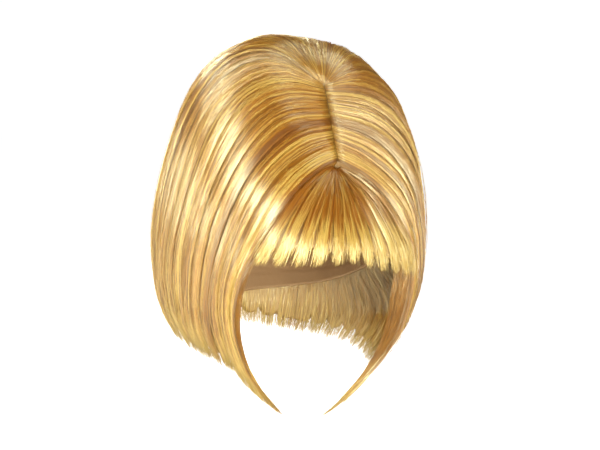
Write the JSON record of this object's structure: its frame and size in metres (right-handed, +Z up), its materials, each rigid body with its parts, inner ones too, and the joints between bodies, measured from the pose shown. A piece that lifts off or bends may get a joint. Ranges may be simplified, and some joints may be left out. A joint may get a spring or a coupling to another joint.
{
  "type": "bouffant wig",
  "caption": "High rounded bob wig in glossy fibre, parted at the front over a full fringe, with jaw-length points and a turned-under hem on an open net cap.",
  "frame": {"origin": "inner crown of the cap, where it sits on the top of the head", "axes": "+Z up, -Y out of the face opening, +X to the wearer's left"},
  "size_m": [0.2316, 0.2512, 0.3009],
  "materials": {
    "cap_net": "matt knitted net",
    "cap_band": "matt elastic band with sewn rows",
    "hair": "glossy straight synthetic fibre"
  },
  "bodies": {
    "root": {"cap_net": "cap_net", "cap_band": "cap_band", "fringe": "hair", "left_front_lock": "hair", "right_front_lock": "hair", "left_side_hair": "hair", "right_side_hair": "hair", "left_rear_hair": "hair", "right_rear_hair": "hair", "back_hair": "hair"}
  },
  "joints": []
}
